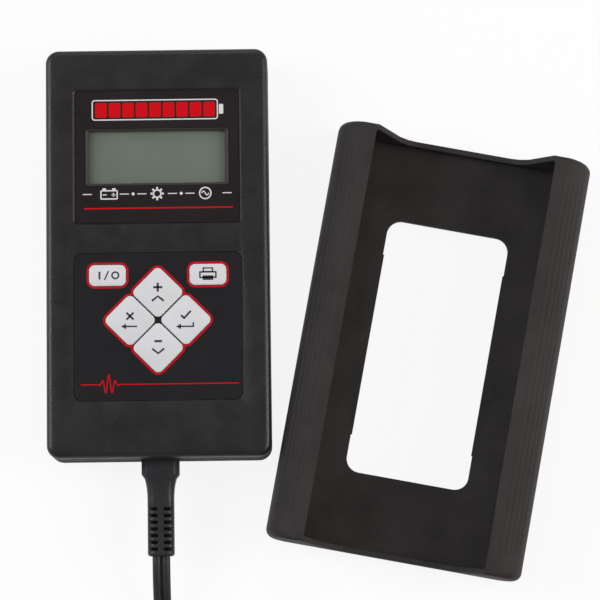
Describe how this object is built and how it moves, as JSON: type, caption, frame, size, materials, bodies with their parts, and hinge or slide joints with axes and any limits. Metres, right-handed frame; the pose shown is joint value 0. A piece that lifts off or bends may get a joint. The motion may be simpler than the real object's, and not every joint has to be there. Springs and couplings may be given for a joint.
{
  "type": "battery tester",
  "caption": "Handheld battery tester with display, key panel, ribbed cable relief, clamp leads put away, and its rubber boot lying beside it.",
  "frame": {"origin": "centre of the tester's back face, on the surface it lies on", "axes": "+Z out of the tester's face, +Y towards its display end, +X to the right"},
  "size_m": [0.316, 0.408, 0.0382],
  "materials": {
    "case_abs": "fine satin texture",
    "label_film": "printed film, slight gloss",
    "bezel_black": "smooth black",
    "clear_lens": "clear acrylic",
    "lcd_steel": "black oxide",
    "lcd_face": "grey-green polarizer",
    "light_guide": "white light guide",
    "circuit_board": "green solder mask",
    "overlay_film": "printed film, slight gloss",
    "circuit_film": "amber film",
    "key_face": "printed film, satin",
    "dome_steel": "bright spring steel",
    "screw_steel": "zinc plated",
    "chip_black": "moulded epoxy",
    "capacitor_sleeve": "shrink sleeve",
    "resistor_ceramic": "unglazed",
    "sink_aluminium": "extruded",
    "buzzer_black": "moulded",
    "emitter_lens": "tinted resin",
    "ir_filter": "dark red, see-through to infrared",
    "connector_nylon": "natural nylon",
    "ribbon_grey": "flat ribbon",
    "wire_red": "wire insulation",
    "relief_pvc": "moulded soft PVC",
    "cable_jacket": "soft PVC",
    "tie_black": "woven tie",
    "lead_red": "soft PVC",
    "clamp_red": "moulded",
    "clamp_black": "moulded",
    "copper": "bare copper plate",
    "pin_steel": "turned",
    "spring_steel": "drawn wire",
    "boot_rubber": "soft moulded rubber"
  },
  "bodies": {
    "tester": {"front_case": "case_abs", "rear_case": "case_abs", "case_screws": "screw_steel", "display_label": "label_film", "display_bezel": "bezel_black", "display_window": "clear_lens", "lcd_frame": "lcd_steel", "lcd_glass": "lcd_face", "lcd_backlight": "light_guide", "lcd_board": "circuit_board", "keypad_overlay": "overlay_film", "keypad_circuit": "circuit_film", "main_board": "circuit_board", "board_screws": "screw_steel", "chips": "chip_black", "capacitors": "capacitor_sleeve", "load_resistor": "resistor_ceramic", "heat_sink": "sink_aluminium", "power_transistors": "chip_black", "buzzer": "buzzer_black", "ir_emitter": "emitter_lens", "ir_window": "ir_filter", "board_connectors": "connector_nylon", "display_cable": "ribbon_grey", "input_wires": "wire_red", "strain_relief": "relief_pvc", "main_cable": "cable_jacket", "cable_coil": "cable_jacket", "cable_end": "cable_jacket", "cable_tie": "tie_black", "lead_yoke": "cable_jacket", "red_lead": "lead_red", "black_lead": "cable_jacket", "dome_on_off": "dome_steel", "dome_print": "dome_steel", "dome_up": "dome_steel", "dome_down": "dome_steel", "dome_no": "dome_steel", "dome_yes": "dome_steel", "red_grip": "clamp_red", "red_grip_jaw": "copper", "red_pin": "pin_steel", "red_spring": "spring_steel", "black_grip": "clamp_black", "black_grip_jaw": "copper", "black_pin": "pin_steel", "black_spring": "spring_steel"},
    "key_on_off": {"key_on_off": "key_face"},
    "key_print": {"key_print": "key_face"},
    "key_up": {"key_up": "key_face"},
    "key_down": {"key_down": "key_face"},
    "key_no": {"key_no": "key_face"},
    "key_yes": {"key_yes": "key_face"},
    "red_lever": {"red_lever": "clamp_red", "red_lever_jaw": "copper", "red_spring_leg": "spring_steel"},
    "black_lever": {"black_lever": "clamp_black", "black_lever_jaw": "copper", "black_spring_leg": "spring_steel"},
    "boot": {"boot": "boot_rubber"}
  },
  "joints": [
    {"name": "on_off_press", "type": "slide", "parent": "tester", "child": "key_on_off", "axis": [0, 0, -1], "range_m": [0, 0.00035], "stiffness_N_per_m": 400, "springref_m": -0.0005, "deforming": ["dome_on_off"]},
    {"name": "print_press", "type": "slide", "parent": "tester", "child": "key_print", "axis": [0, 0, -1], "range_m": [0, 0.00035], "stiffness_N_per_m": 400, "springref_m": -0.0005, "deforming": ["dome_print"]},
    {"name": "up_press", "type": "slide", "parent": "tester", "child": "key_up", "axis": [0, 0, -1], "range_m": [0, 0.00035], "stiffness_N_per_m": 400, "springref_m": -0.0005, "deforming": ["dome_up"]},
    {"name": "down_press", "type": "slide", "parent": "tester", "child": "key_down", "axis": [0, 0, -1], "range_m": [0, 0.00035], "stiffness_N_per_m": 400, "springref_m": -0.0005, "deforming": ["dome_down"]},
    {"name": "no_press", "type": "slide", "parent": "tester", "child": "key_no", "axis": [0, 0, -1], "range_m": [0, 0.00035], "stiffness_N_per_m": 400, "springref_m": -0.0005, "deforming": ["dome_no"]},
    {"name": "yes_press", "type": "slide", "parent": "tester", "child": "key_yes", "axis": [0, 0, -1], "range_m": [0, 0.00035], "stiffness_N_per_m": 400, "springref_m": -0.0005, "deforming": ["dome_yes"]},
    {"name": "red_clamp_open", "type": "hinge", "parent": "tester", "child": "red_lever", "pos_m": [0.163, -0.198, 0.0105], "axis": [0, 0, -1], "range_deg": [0, 30], "stiffness_Nm_per_rad": 0.5, "springref_deg": -34.38},
    {"name": "black_clamp_open", "type": "hinge", "parent": "tester", "child": "black_lever", "pos_m": [0.163, -0.252, 0.0105], "axis": [0, 0, -1], "range_deg": [0, 30], "stiffness_Nm_per_rad": 0.5, "springref_deg": -34.38},
    {"name": "boot_lift", "type": "slide", "parent": "tester", "child": "boot", "axis": [0, 0, 1], "range_m": [0, 0.06]}
  ]
}
